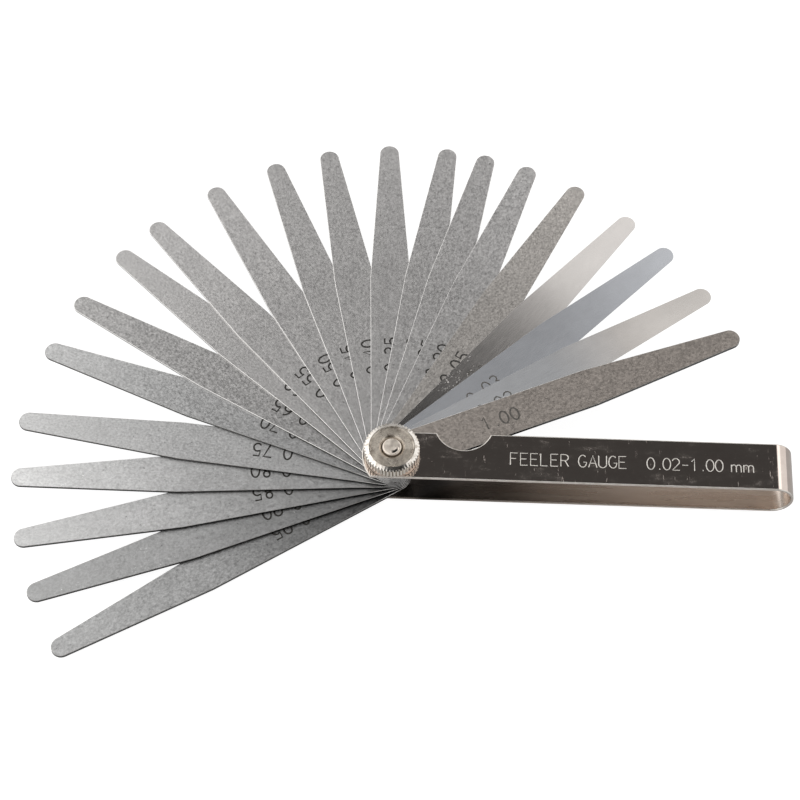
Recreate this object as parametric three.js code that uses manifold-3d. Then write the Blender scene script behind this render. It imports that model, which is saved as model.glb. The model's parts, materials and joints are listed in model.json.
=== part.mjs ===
// Feeler gauge: twenty-one steel blades on one pivot, in a case bent from a single strip.
// Units are millimetres. +Z runs up the pivot axis and the case runs along +X.
// The origin is the centre of the flat underside of the pivot screw's head, on which the
// gauge rests. Blades are fanned out anticlockwise, seen from above, from the case.

import * as THREE from "three";
import { mergeVertices } from "three/addons/utils/BufferGeometryUtils.js";
import Module from "manifold-3d";

const wasm = await Module();
wasm.setup();

// ---- Driving dimensions ----

// Blades, from the top of the stack down: [thickness, fan angle from the case in degrees].
const BLADES = [
  [1.0, 23.5], [0.02, 32.5], [0.03, 42.1], [0.04, 50.5], [0.05, 60.5],
  [0.2, 69.3], [0.25, 76.5], [0.3, 82.9], [0.35, 92.5], [0.4, 102.5],
  [0.45, 111.6], [0.5, 122.3], [0.55, 133.7], [0.6, 141.1], [0.65, 151.8],
  [0.7, 161.2], [0.75, 174.0], [0.8, 183.6], [0.85, 193.8], [0.9, 203.0], [0.95, 212.7],
];
const BLADE_REACH = 97.3; // pivot to tip
const BLADE_WIDTH = 10.6; // of the heel and the parallel half
const BLADE_TAPER_START = 55; // pivot to the start of the taper
const BLADE_TIP_RADIUS = 2.6;
const BLADE_GAP = 0.01; // oil film between neighbours
const PIVOT_HOLE_RADIUS = 2.6; // in the blades, the front leg, the washer and the nut

const STRIP = 0.75; // thickness of the case strip
const CASE_WIDTH = 13.2;
const CASE_END = 102; // pivot to the outside of the bend
const BEND_DEPTH = 5; // length of the bend along X
const CASE_NOSE = 7.6; // pivot to the middle of the rounded open end
const CASE_NOSE_RADIUS = 10.5; // a flatter curve than the width, so it ends in two corners
const NOTCH_CENTRE_X = 18.1; // thumb notch in the +Y edge of both legs
const NOTCH_RADIUS = 7.3;
const NOTCH_DEPTH = 4.7;

const SHANK_RADIUS = 2.5;
const SHANK_END_CHAMFER = 0.25;
const SHANK_END_DOME = 0.15;
const HEAD_RADIUS = 5;
const HEAD_HEIGHT = 1.2;
const HEAD_CHAMFER = 0.3;
const NECK_SIDE = 5; // square neck that keeps the screw from turning in the back leg
const NECK_HOLE_SIDE = 5.2;

const WASHER_RADIUS = 5;
const WASHER_HEIGHT = 0.3;
const CLAMP_GAP = 0.01; // between front leg, washer and nut
const NUT_RADIUS = 7;
const NUT_HEIGHT = 3.8;
const NUT_BEVEL_WIDTH = 1.15; // of the broad bevel round the top face
const NUT_BEVEL_HEIGHT = 0.57;
const NUT_FOOT_CHAMFER = 0.8;
const NUT_RIM = 0.35; // width of the raised rim round the dished face
const NUT_DISH_DEPTH = 0.1;
const NUT_COUNTERSINK_RADIUS = 3.3;
const KNURL_COUNT = 48;
const KNURL_DEPTH = 0.35;

// ---- Heights worked out from the stack ----

const stackHeight = BLADES.reduce((sum, [thickness]) => sum + thickness + BLADE_GAP, BLADE_GAP);
const caseBottom = HEAD_HEIGHT;
const stackBottom = caseBottom + STRIP;
const stackTop = stackBottom + stackHeight;
const caseTop = stackTop + STRIP;
const washerBottom = caseTop + CLAMP_GAP;
const nutBottom = washerBottom + WASHER_HEIGHT + CLAMP_GAP;
const nutTop = nutBottom + NUT_HEIGHT;

const HALF_TURN = Math.PI;
const QUARTER_TURN = Math.PI / 2;

// ---- Materials ----

const steel = (color, roughness) => new THREE.MeshStandardMaterial({ color, roughness, metalness: 1 });
const MATERIALS = {
  blade: () => steel(0x9c9b99, 0.35),
  thinBlade: () => steel(0xc4c3c1, 0.25),
  plate: () => steel(0xb9b2a8, 0.12),
  nut: () => steel(0xcbbfb3, 0.25),
  screw: () => steel(0xc6bcb0, 0.35),
};
const THIN_BLADE_LIMIT = 0.1; // blades thinner than this are bright rolled foil

// ---- Geometry helpers ----

// A closed geometry as a manifold solid, with shared vertices merged and flat triangles dropped.
function toSolid(geometry) {
  const bare = geometry.clone();
  bare.deleteAttribute("normal");
  bare.deleteAttribute("uv");
  const merged = mergeVertices(bare, 1e-4);
  const index = merged.index.array;
  const triangles = [];
  for (let i = 0; i < index.length; i += 3) {
    const [a, b, c] = index.slice(i, i + 3);
    if (a !== b && b !== c && c !== a) triangles.push(a, b, c);
  }
  const vertProperties = Float32Array.from(merged.attributes.position.array);
  return new wasm.Manifold(new wasm.Mesh({ numProp: 3, vertProperties, triVerts: Uint32Array.from(triangles) }));
}

function toGeometry(solid) {
  const mesh = solid.getMesh();
  const geometry = new THREE.BufferGeometry();
  geometry.setAttribute("position", new THREE.BufferAttribute(mesh.vertProperties, 3));
  geometry.setIndex(new THREE.BufferAttribute(mesh.triVerts, 1));
  geometry.computeVertexNormals();
  return geometry;
}

// An XY outline pulled up from z = bottom to z = top.
function prism(shape, bottom, top, curveSegments) {
  const geometry = new THREE.ExtrudeGeometry(shape, {
    depth: top - bottom, bevelEnabled: false, steps: 1, curveSegments,
  });
  return geometry.translate(0, 0, bottom);
}

// A [radius, height] profile, listed from the bottom up, turned about the Z axis.
function turned(profile, segments) {
  const points = profile.map(([radius, height]) => new THREE.Vector2(radius, height));
  return new THREE.LatheGeometry(points, segments).rotateX(QUARTER_TURN);
}

function circle(radius) {
  return new THREE.Shape().absarc(0, 0, radius, 0, 2 * HALF_TURN, false);
}

function square(side) {
  const half = side / 2;
  const corners = [[-half, -half], [half, -half], [half, half], [-half, half]];
  return new THREE.Shape(corners.map(([x, y]) => new THREE.Vector2(x, y)));
}

function namedMesh(name, geometry, material) {
  const mesh = new THREE.Mesh(geometry, material);
  mesh.name = name;
  return mesh;
}

// ---- Blades ----

// Round heel about the pivot, parallel sides, then a straight taper to a round tip.
function bladeOutline() {
  const halfWidth = BLADE_WIDTH / 2;
  const tipCentre = BLADE_REACH - BLADE_TIP_RADIUS;
  const taperLength = tipCentre - BLADE_TAPER_START;
  const taperSlope = Math.atan2(halfWidth, taperLength)
    - Math.asin(BLADE_TIP_RADIUS / Math.hypot(taperLength, halfWidth));
  const tipArcEnd = QUARTER_TURN - taperSlope;
  const shape = new THREE.Shape();
  shape.moveTo(0, -halfWidth);
  shape.lineTo(BLADE_TAPER_START, -halfWidth);
  shape.absarc(tipCentre, 0, BLADE_TIP_RADIUS, -tipArcEnd, tipArcEnd, false);
  shape.lineTo(BLADE_TAPER_START, halfWidth);
  shape.absarc(0, 0, halfWidth, QUARTER_TURN, 3 * QUARTER_TURN, false);
  shape.holes.push(new THREE.Path().absarc(0, 0, PIVOT_HOLE_RADIUS, 0, 2 * HALF_TURN, true));
  return shape;
}

function makeBlades() {
  const group = new THREE.Group();
  const outline = bladeOutline();
  let top = stackTop - BLADE_GAP;
  for (const [thickness, fanAngle] of BLADES) {
    const name = `blade_${thickness.toFixed(2).replace(".", "_")}`;
    const material = thickness < THIN_BLADE_LIMIT ? MATERIALS.thinBlade() : MATERIALS.blade();
    const blade = namedMesh(name, prism(outline, top - thickness, top, 12), material);
    blade.rotation.z = THREE.MathUtils.degToRad(fanAngle);
    group.add(blade);
    top -= thickness + BLADE_GAP;
  }
  return group;
}

// ---- Case ----

// The strip seen from the side: back leg, half-oval bend and front leg, in X and height.
function caseSideProfile() {
  const bendStart = CASE_END - BEND_DEPTH;
  const openEnd = -CASE_NOSE - 1;
  const middle = (caseBottom + caseTop) / 2;
  const halfHeight = (caseTop - caseBottom) / 2;
  const shape = new THREE.Shape();
  shape.moveTo(openEnd, caseBottom);
  shape.lineTo(bendStart, caseBottom);
  shape.absellipse(bendStart, middle, BEND_DEPTH, halfHeight, -QUARTER_TURN, QUARTER_TURN, false);
  shape.lineTo(openEnd, caseTop);
  shape.lineTo(openEnd, caseTop - STRIP);
  shape.lineTo(bendStart, caseTop - STRIP);
  shape.absellipse(bendStart, middle, BEND_DEPTH - STRIP, halfHeight - STRIP, QUARTER_TURN, -QUARTER_TURN, true);
  shape.lineTo(openEnd, caseBottom + STRIP);
  shape.closePath();
  return shape;
}

// The strip seen from above: a shallow curved nose, and the thumb notch in the +Y edge.
function casePlan() {
  const halfWidth = CASE_WIDTH / 2;
  const noseCentre = CASE_NOSE_RADIUS - CASE_NOSE;
  const noseHalfAngle = Math.asin(halfWidth / CASE_NOSE_RADIUS);
  const notchCentreY = halfWidth - NOTCH_DEPTH + NOTCH_RADIUS;
  const notchHalfAngle = Math.acos((NOTCH_RADIUS - NOTCH_DEPTH) / NOTCH_RADIUS);
  const beyondBend = CASE_END + 1;
  const shape = new THREE.Shape();
  shape.moveTo(beyondBend, -halfWidth);
  shape.lineTo(beyondBend, halfWidth);
  shape.absarc(NOTCH_CENTRE_X, notchCentreY, NOTCH_RADIUS,
    -QUARTER_TURN + notchHalfAngle, -QUARTER_TURN - notchHalfAngle, true);
  shape.absarc(noseCentre, 0, CASE_NOSE_RADIUS, HALF_TURN - noseHalfAngle, HALF_TURN + noseHalfAngle, false);
  shape.closePath();
  return shape;
}

function makeCase() {
  const clear = 1;
  const strip = prism(caseSideProfile(), -CASE_WIDTH / 2 - clear, CASE_WIDTH / 2 + clear, 12).rotateX(QUARTER_TURN);
  const plan = prism(casePlan(), caseBottom - clear, caseTop + clear, 14);
  const neckHole = prism(square(NECK_HOLE_SIDE), caseBottom - clear, stackBottom + clear, 1);
  const shankHole = prism(circle(PIVOT_HOLE_RADIUS), stackTop - clear, caseTop + clear, 12);
  const solid = toSolid(strip).intersect(toSolid(plan))
    .subtract(toSolid(neckHole))
    .subtract(toSolid(shankHole));
  return namedMesh("case", toGeometry(solid), MATERIALS.plate());
}

// ---- Pivot screw, washer and thumb nut ----

function makePivotScrew() {
  const tip = nutTop + SHANK_END_DOME;
  const body = turned([
    [0, 0], [HEAD_RADIUS - HEAD_CHAMFER, 0], [HEAD_RADIUS, HEAD_CHAMFER], [HEAD_RADIUS, HEAD_HEIGHT - CLAMP_GAP],
    [SHANK_RADIUS, HEAD_HEIGHT - CLAMP_GAP], [SHANK_RADIUS, nutTop - SHANK_END_CHAMFER],
    [SHANK_RADIUS - SHANK_END_CHAMFER, nutTop], [0, tip],
  ], 24);
  const neck = prism(square(NECK_SIDE), HEAD_HEIGHT / 2, stackBottom - CLAMP_GAP, 1);
  return namedMesh("pivot_screw", toGeometry(toSolid(body).add(toSolid(neck))), MATERIALS.screw());
}

function makeNutWasher() {
  const ring = circle(WASHER_RADIUS);
  ring.holes.push(new THREE.Path().absarc(0, 0, PIVOT_HOLE_RADIUS, 0, 2 * HALF_TURN, true));
  return namedMesh("nut_washer", prism(ring, washerBottom, washerBottom + WASHER_HEIGHT, 12), MATERIALS.screw());
}

// Straight knurling: one ridge and one groove per tooth.
function knurlOutline() {
  const points = [];
  for (let i = 0; i < 2 * KNURL_COUNT; i += 1) {
    const radius = i % 2 === 0 ? NUT_RADIUS : NUT_RADIUS - KNURL_DEPTH;
    const angle = (i * HALF_TURN) / KNURL_COUNT;
    points.push(new THREE.Vector2(radius * Math.cos(angle), radius * Math.sin(angle)));
  }
  return new THREE.Shape(points);
}

function makeThumbNut() {
  const dishTop = nutTop - NUT_DISH_DEPTH;
  const countersinkDepth = NUT_COUNTERSINK_RADIUS - PIVOT_HOLE_RADIUS;
  const rimOuter = NUT_RADIUS - NUT_BEVEL_WIDTH;
  const blank = turned([
    [PIVOT_HOLE_RADIUS, nutBottom], [NUT_RADIUS - NUT_FOOT_CHAMFER, nutBottom],
    [NUT_RADIUS, nutBottom + NUT_FOOT_CHAMFER], [NUT_RADIUS, nutTop - NUT_BEVEL_HEIGHT],
    [rimOuter, nutTop], [rimOuter - NUT_RIM, nutTop],
    [NUT_COUNTERSINK_RADIUS, dishTop], [PIVOT_HOLE_RADIUS, dishTop - countersinkDepth],
    [PIVOT_HOLE_RADIUS, nutBottom],
  ], 36);
  const knurl = prism(knurlOutline(), nutBottom - 1, nutTop + 1, 1);
  return namedMesh("thumb_nut", toGeometry(toSolid(blank).intersect(toSolid(knurl))), MATERIALS.nut());
}

// ---- The gauge ----

const feelerGauge = new THREE.Group();
feelerGauge.add(makeCase(), makeBlades(), makePivotScrew(), makeNutWasher(), makeThumbNut());

export default feelerGauge;
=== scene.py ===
"""Feeler gauge: blades fanned out on the pivot screw of a polished strip case.

Lengths are metres in the row frame: +Z up the pivot axis, +X along the case.
The CAD model gives the places and the main sizes; this script makes the finished surfaces.
"""

import json
import math

import bmesh
import bpy
import numpy as np
from mathutils import Matrix, Vector


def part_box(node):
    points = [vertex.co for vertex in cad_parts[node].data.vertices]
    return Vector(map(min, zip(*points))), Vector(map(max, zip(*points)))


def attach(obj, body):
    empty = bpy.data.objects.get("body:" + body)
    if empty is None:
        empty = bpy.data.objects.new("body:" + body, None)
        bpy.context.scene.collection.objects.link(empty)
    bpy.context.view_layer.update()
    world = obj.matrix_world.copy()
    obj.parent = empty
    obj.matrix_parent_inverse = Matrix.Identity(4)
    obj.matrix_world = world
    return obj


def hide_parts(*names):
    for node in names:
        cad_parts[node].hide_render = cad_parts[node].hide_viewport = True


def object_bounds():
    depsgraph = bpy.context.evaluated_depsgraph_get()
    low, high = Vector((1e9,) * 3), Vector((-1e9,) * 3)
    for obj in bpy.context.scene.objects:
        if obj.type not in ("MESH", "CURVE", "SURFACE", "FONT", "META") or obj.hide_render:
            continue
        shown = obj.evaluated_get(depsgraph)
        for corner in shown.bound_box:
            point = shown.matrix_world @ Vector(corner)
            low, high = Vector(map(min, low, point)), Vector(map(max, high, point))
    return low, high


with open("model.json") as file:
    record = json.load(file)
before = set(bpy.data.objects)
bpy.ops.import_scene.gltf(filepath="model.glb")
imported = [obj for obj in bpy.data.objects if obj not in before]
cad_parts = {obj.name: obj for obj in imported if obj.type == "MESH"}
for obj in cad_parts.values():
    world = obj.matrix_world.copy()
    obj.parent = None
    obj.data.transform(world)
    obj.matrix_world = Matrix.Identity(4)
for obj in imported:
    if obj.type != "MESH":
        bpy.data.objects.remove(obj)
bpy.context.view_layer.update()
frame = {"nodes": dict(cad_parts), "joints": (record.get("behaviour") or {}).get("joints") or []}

MM = 0.001
NODES = frame["nodes"]
JOINTS = {joint["child"]: joint for joint in frame["joints"]}
BLADES = sorted(
    (name for name in NODES if name.startswith("blade_")),
    key=lambda name: -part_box(name)[0].z,
)  # from the top of the stack down

# ---- Sizes that the CAD model has too ----

BLADE_WIDTH = 10.6 * MM  # of the heel and the parallel half
BLADE_REACH = 97.3 * MM  # pivot to tip
BLADE_TAPER_START = 55 * MM
BLADE_TIP_RADIUS = 2.6 * MM
PIVOT_HOLE_RADIUS = 2.6 * MM  # in the blades, the front leg and the nut
STRIP = 0.75 * MM  # thickness of the case strip
BEND_DEPTH = 5 * MM
CASE_NOSE_RADIUS = 10.5 * MM
NOTCH_CENTRE_X = 18.1 * MM  # thumb notch in the +Y edge of both legs
NOTCH_RADIUS = 7.3 * MM
NOTCH_DEPTH = 4.7 * MM
NECK_HOLE_SIDE = 5.2 * MM
SHANK_RADIUS = 2.5 * MM
CLAMP_GAP = 0.01 * MM  # between the back leg and the screw's head
NUT_RADIUS = 7 * MM
NUT_BEVEL_WIDTH = 1.15 * MM
NUT_BEVEL_HEIGHT = 0.57 * MM
NUT_FOOT_CHAMFER = 0.8 * MM
NUT_RIM = 0.35 * MM  # width of the raised rim round the dished face
NUT_DISH_DEPTH = 0.1 * MM
NUT_COUNTERSINK_RADIUS = 3.3 * MM
KNURL_COUNT = 48
KNURL_DEPTH = 0.35 * MM

# ---- Fine sizes that only the finished surfaces have ----

BLADE_EDGE_RADIUS = 0.1 * MM
BLADE_EDGE_SHARE = 0.4  # the most of a thin blade's thickness that one rounded edge may take
CASE_EDGE_RADIUS = 0.33 * MM
CASE_EDGE_STEPS = 4
BEND_CUTS = 41  # across the flat strip, so that it can curve there
BEND_SAMPLES = 721  # points that measure the length along the bend
KNURL_LAND = 0.4  # share of the tooth pitch that is flat on top
COLUMNS_PER_TOOTH = 8
NUT_DISH_SLOPE = 0.12 * MM  # width of the slope from the rim down to the dish
NUT_DISH_FALL = 0.02 * MM  # from the foot of that slope to the countersink
COUNTERSINK_DEPTH = 0.5 * MM
BORE_MOUTH_RADIUS = 2.75 * MM  # of the bore below the countersink, where it starts to narrow
BORE_MOUTH_DEPTH = 1.2 * MM  # where it has narrowed to the hole
KNURL_MARGIN = 0.05 * MM  # the grooved finish starts this far inside the groove floor
SCREW_COLUMNS = 96
HOLE_STEPS = 48
HEEL_STEPS = 40
TIP_STEPS = 28
NOSE_STEPS = 24
NOTCH_STEPS = 32
HEAD_FOOT = ((0.3, 0), (0.1, 0.08), (0, 0.3))  # mm in from the head's side, mm up
HEAD_BROW = ((0, 0.12), (0.1, 0.01))  # mm in from the head's side, mm below the case
SCREW_END_RADIUS = 2.45 * MM
SCREW_END_HEIGHT = 1.4 * MM  # of the slightly thinner end above the shank
SCREW_END_STEP = 0.2 * MM  # over which the shank narrows to it
SCREW_CORNER = ((0, 0.42), (0.05, 0.27), (0.16, 0.16), (0.32, 0.1))  # mm in from the side, mm down
SCREW_DOME_WIDTH = SCREW_END_RADIUS - 0.32 * MM
SCREW_DOME_HEIGHT = 0.1 * MM
SCREW_DOME_STEPS = 14
STAKE_ANGLE = math.radians(-55)  # where a punch has spread the screw's end
STAKE_HALF_ANGLE = math.radians(40)
STAKE_RADIUS = 1.5 * MM
STAKE_HALF_WIDTH = 0.28 * MM
STAKE_DEPTH = 0.4 * MM
STAKE_CLEARANCE = 0.5 * MM  # the dent leaves alone what is this near the axis or this far down
STAKE_BLACK_DEPTH = 0.24 * MM  # below this the dent is painted black, as shade
STAKE_BLACK_MARGIN = 0.4 * MM  # in from the screw's side

# Distances too small to matter, when points are merged, a ring is a point, or a strip is cut.
MERGE_DISTANCE = 1e-7
AXIS_DISTANCE = 1e-9
CUT_DISTANCE = 1e-8

# Limits on a polygon's normal that tell faces, rounded edges and cut sides apart.
BLADE_FACE = 0.999
BLADE_TOP_EDGE = 0.02
CASE_EDGE = 0.12
CASE_SIDE = 0.98
CASE_INSIDE_SLANT = 0.3
CASE_INSIDE_FACING = 0.75
CASE_LOOKS_DOWN = -0.5

# ---- Numbers on the blades and lettering on the case ----

MARK_HEIGHT = 3.55 * MM
MARK_STEP = 2.9 * MM  # from one character to the next
MARK_STROKE = 0.48 * MM
FOIL_MARK_STROKE = 0.36 * MM
MARK_LIFT = 0.006 * MM
MARK_SINK = 0.01 * MM
MARK_START = 25.9 * MM  # from the pivot
MARK_BASE = -1.9 * MM  # from the blade's middle line
MARK_SHIFT = {
    "blade_1_00": -1.2 * MM, "blade_0_55": 0.4 * MM, "blade_0_65": -0.8 * MM,
    "blade_0_90": -0.9 * MM, "blade_0_95": -1.1 * MM,
}  # how far off the usual place some numbers were etched
CASE_TEXT_BASE = -1.9 * MM
CASE_TEXT_STROKE = 0.24 * MM
CASE_TEXT_LIFT = 0.03 * MM
CASE_TEXT_SINK = 0.05 * MM
CASE_TEXT = {
    "case_title": ("FEELER GAUGE", 3.4 * MM, 2.55 * MM, 30 * MM),
    "case_range": ("0.02-1.00 mm", 3.3 * MM, 2.3 * MM, 64.5 * MM),
}  # name: (words, height, step, distance from the pivot)

# ---- Colours and wear ----

PLAIN_STEEL = (0.6, 0.595, 0.595)
COOL_STEEL = (0.6, 0.605, 0.61)
TONES = {
    "blade_1_00": (0.5, 0.455, 0.42),
    "blade_0_02": (0.56, 0.575, 0.6),
    "blade_0_03": (0.55, 0.57, 0.61),
    "blade_0_04": (0.72, 0.695, 0.68),
    "blade_0_05": (0.6, 0.575, 0.55),
    "blade_0_65": (0.5, 0.497, 0.497),
    "blade_0_70": (0.52, 0.525, 0.53),
    "blade_0_75": COOL_STEEL,
    "blade_0_80": COOL_STEEL,
    "blade_0_85": COOL_STEEL,
    "blade_0_90": (0.47, 0.475, 0.48),
    "blade_0_95": (0.47, 0.475, 0.48),
}

# How strong the sparkle is, how much oily dirt and painted shade darken the pivot end, how much brighter a
# painted highlight makes the tip.
PLAIN_WEAR_AND_PAINTED_LIGHT = (0.16, 0.06, 0.05)
BLADE_WEAR_AND_PAINTED_LIGHT = {
    "blade_1_00": (0.22, 0.0, 0.0),
    "blade_0_05": (0.18, 0.14, 0.36),
    "blade_0_20": (0.2, 0.14, 0.3),
    "blade_0_25": (0.16, 0.06, 0.15),
    "blade_0_30": (0.16, 0.06, 0.12),
    "blade_0_35": (0.12, 0.03, 0.12),
    "blade_0_40": (0.12, 0.03, 0.05),
    "blade_0_50": (0.18, 0.06, 0.15),
    "blade_0_55": (0.18, 0.06, 0.15),
    "blade_0_60": (0.2, 0.06, 0.12),
    "blade_0_65": (0.5, 0.1, 0.1),
    "blade_0_70": (0.36, 0.14, 0.28),
    "blade_0_75": (0.26, 0.12, 0.2),
    "blade_0_80": (0.24, 0.22, 0.45),
    "blade_0_85": (0.2, 0.46, 0.25),
    "blade_0_90": (0.22, 0.48, 0.1),
    "blade_0_95": (0.36, 0.8, 0.15),
}
FLECKED_BLADES = ("blade_1_00", "blade_0_80", "blade_0_90")  # with clusters of bright nicks
# The thick blades' sheared sides that are dark with painted shade: 1 for the side towards +Y, -1 towards
# -Y.
PAINTED_SHADE_SIDE = {"blade_1_00": -1} | {node: 1 for node in BLADES[-6:]}

FOIL_WAVE = 0.003  # slope of the foils' faint ripples
FOIL_TIP_REFLECTION_TONES = {"blade_0_02": (0.6, 0.575, 0.555)}  # warmer towards the tip: a painted reflection tint
# Distance from the pivot and how far the foil's surface leans outwards there, as a slope.
FOIL_LEAN = {
    "blade_0_02": [
        (0, 0.2), (22 * MM, 0.186), (50 * MM, 0.16), (65 * MM, 0.156), (80 * MM, 0.156), (92 * MM, 0.146),
        (BLADE_REACH, 0.143),
    ],
    "blade_0_03": [(0, 0.2), (22 * MM, 0.177), (50 * MM, 0.154), (80 * MM, 0.15), (BLADE_REACH, 0.157)],
    "blade_0_04": [
        (0, 0.08), (20 * MM, 0.124), (45 * MM, 0.13), (60 * MM, 0.145), (75 * MM, 0.17),
        (BLADE_REACH, 0.175),
    ],
}

# Distance from the pivot and how bright the metal inside the case is painted there: painted shade next to
# the pivot, where the blades shade it, and painted light towards the bend.
INSIDE_PAINTED_SHADE = [
    (0, 0.4), (6 * MM, 0.3), (9 * MM, 0.13), (18 * MM, 0.4), (29 * MM, 0.52), (40 * MM, 0.76),
    (60 * MM, 0.97), (75 * MM, 1.08), (110 * MM, 0.95),
]
INK_DEEP = (0.02, 0.019, 0.018)
INK_THIN = (0.045, 0.042, 0.038)
FAINT_INK = 3.2  # how much lighter the foils' numbers are
PAINTED_SHADE_EDGE = 0.3  # how bright the top edges of the shaded sides are, against 1: painted shade

# ---- Camera and studio ----

CAMERA_ELEVATION, CAMERA_YAW, CAMERA_ROLL = (math.radians(a) for a in (60.71, 1.60, 0.47))
CAMERA_DISTANCE = 0.5878  # from the pivot, in metres as the next three are
FIELD_SIDE = 0.2061  # what the frame spans at the pivot
AIM_RIGHT = 0.0021
AIM_UP = 0.0196

FLOOR_REACH = 1.5  # from the middle to each side
FLOOR_GAP = 0.5 * MM  # below the object
FLOOR_GREY = 0.3
FLOOR_GLOW_MIRRORED = 0.25
FLOOR_GLOW_SEEN = 0.92

SKY_LEVEL = 1.0
SKY_COLOR = (1, 0.985, 0.965)
# Azimuth from +X, elevation, full inside, gone outside, all in degrees, and the level inside.
STUDIO_PATCHES = [
    (150, 50, 14, 45, 1.5),
    (48, 48, 7, 16, 1.7),
    (82, 60, 12, 21, 0.065),
    (-71, 48, 28, 33, 0.04),
    (91, 4, 14, 28, 0.45),
]


# ---- Mesh helpers ----

def new_object(name, mesh, material=None):
    piece = bpy.data.objects.new(name, mesh)
    bpy.context.scene.collection.objects.link(piece)
    if material is not None:
        mesh.materials.clear()
        mesh.materials.append(material)
    return piece


def mesh_from_bmesh(name, work):
    mesh = bpy.data.meshes.new(name)
    work.to_mesh(mesh)
    work.free()
    return mesh


def shade(mesh, angle):
    """Smooth shading that breaks at edges sharper than angle degrees."""
    mesh.polygons.foreach_set("use_smooth", [True] * len(mesh.polygons))
    mesh.set_sharp_from_angle(angle=math.radians(angle))
    return mesh


def keep_flats_flat(piece):
    """Shade large faces by their own direction, so a rounded edge doesn't bend their reflections."""
    weighting = piece.modifiers.new("keep_flats_flat", "WEIGHTED_NORMAL")
    weighting.keep_sharp = True
    weighting.weight = 90


def arc(centre, radius, start, end, steps):
    """Points on an arc, angles in degrees, both ends included."""
    angles = [math.radians(start + (end - start) * i / steps) for i in range(steps + 1)]
    return [(centre[0] + radius * math.cos(a), centre[1] + radius * math.sin(a)) for a in angles]


def round_hole(radius):
    """A hole about the origin, listed clockwise."""
    return arc((0, 0), radius, 0, -360, HOLE_STEPS)[:-1]


def mesh_of_curve(name, curve):
    """The mesh that a curve makes. The curve is used up."""
    scratch = new_object(name + "_curve", curve)
    bpy.context.view_layer.update()
    mesh = bpy.data.meshes.new_from_object(scratch)
    bpy.data.objects.remove(scratch)
    bpy.data.curves.remove(curve)
    mesh.name = name
    return mesh


def add_line(curve, points, closed=False):
    spline = curve.splines.new("POLY")
    spline.points.add(len(points) - 1)
    for point, (x, y) in zip(spline.points, points):
        point.co = (x, y, 0, 1)
    spline.use_cyclic_u = closed


def sheet_metal(name, loops, thickness, edge_radius, edge_steps=2):
    """A flat plate with rounded edges, between z = 0 and thickness.

    The first loop is the outline and the others are holes, all lists of (x, y)."""
    curve = bpy.data.curves.new(name, "CURVE")
    curve.dimensions = "2D"
    curve.fill_mode = "BOTH"
    curve.extrude = thickness / 2 - edge_radius
    curve.bevel_depth = edge_radius
    curve.bevel_resolution = edge_steps
    curve.offset = -edge_radius
    for loop in loops:
        add_line(curve, loop, closed=True)
    mesh = mesh_of_curve(name, curve)
    mesh.transform(Matrix.Translation((0, 0, thickness / 2)))
    work = bmesh.new()
    work.from_mesh(mesh)
    bmesh.ops.remove_doubles(work, verts=work.verts, dist=MERGE_DISTANCE)
    bmesh.ops.recalc_face_normals(work, faces=work.faces)
    work.to_mesh(mesh)
    work.free()
    return mesh


def turned(name, rows, columns, wobble=None):
    """A closed surface of revolution from (radius, height) rows, listed upwards on the outside.

    wobble(row, angle) gives the share of the radius left at that row and angle."""
    work = bmesh.new()
    rings = []
    for r, (radius, height) in enumerate(rows):
        if radius < AXIS_DISTANCE:
            rings.append([work.verts.new((0, 0, height))])
            continue
        ring = []
        for c in range(columns):
            angle = 2 * math.pi * c / columns
            reach = radius * (wobble(r, angle) if wobble else 1)
            ring.append(work.verts.new((reach * math.cos(angle), reach * math.sin(angle), height)))
        rings.append(ring)
    for low, high in zip(rings, rings[1:]):
        for c in range(columns):
            d = (c + 1) % columns
            if len(low) == 1:
                work.faces.new((low[0], high[d], high[c]))
            elif len(high) == 1:
                work.faces.new((low[c], low[d], high[0]))
            else:
                work.faces.new((low[c], low[d], high[d], high[c]))
    if len(rings[0]) > 1:
        low, high = rings[-1], rings[0]
        for c in range(columns):
            d = (c + 1) % columns
            work.faces.new((low[c], low[d], high[d], high[c]))
    bmesh.ops.recalc_face_normals(work, faces=work.faces)
    return mesh_from_bmesh(name, work)


# ---- Material helpers ----

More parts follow.
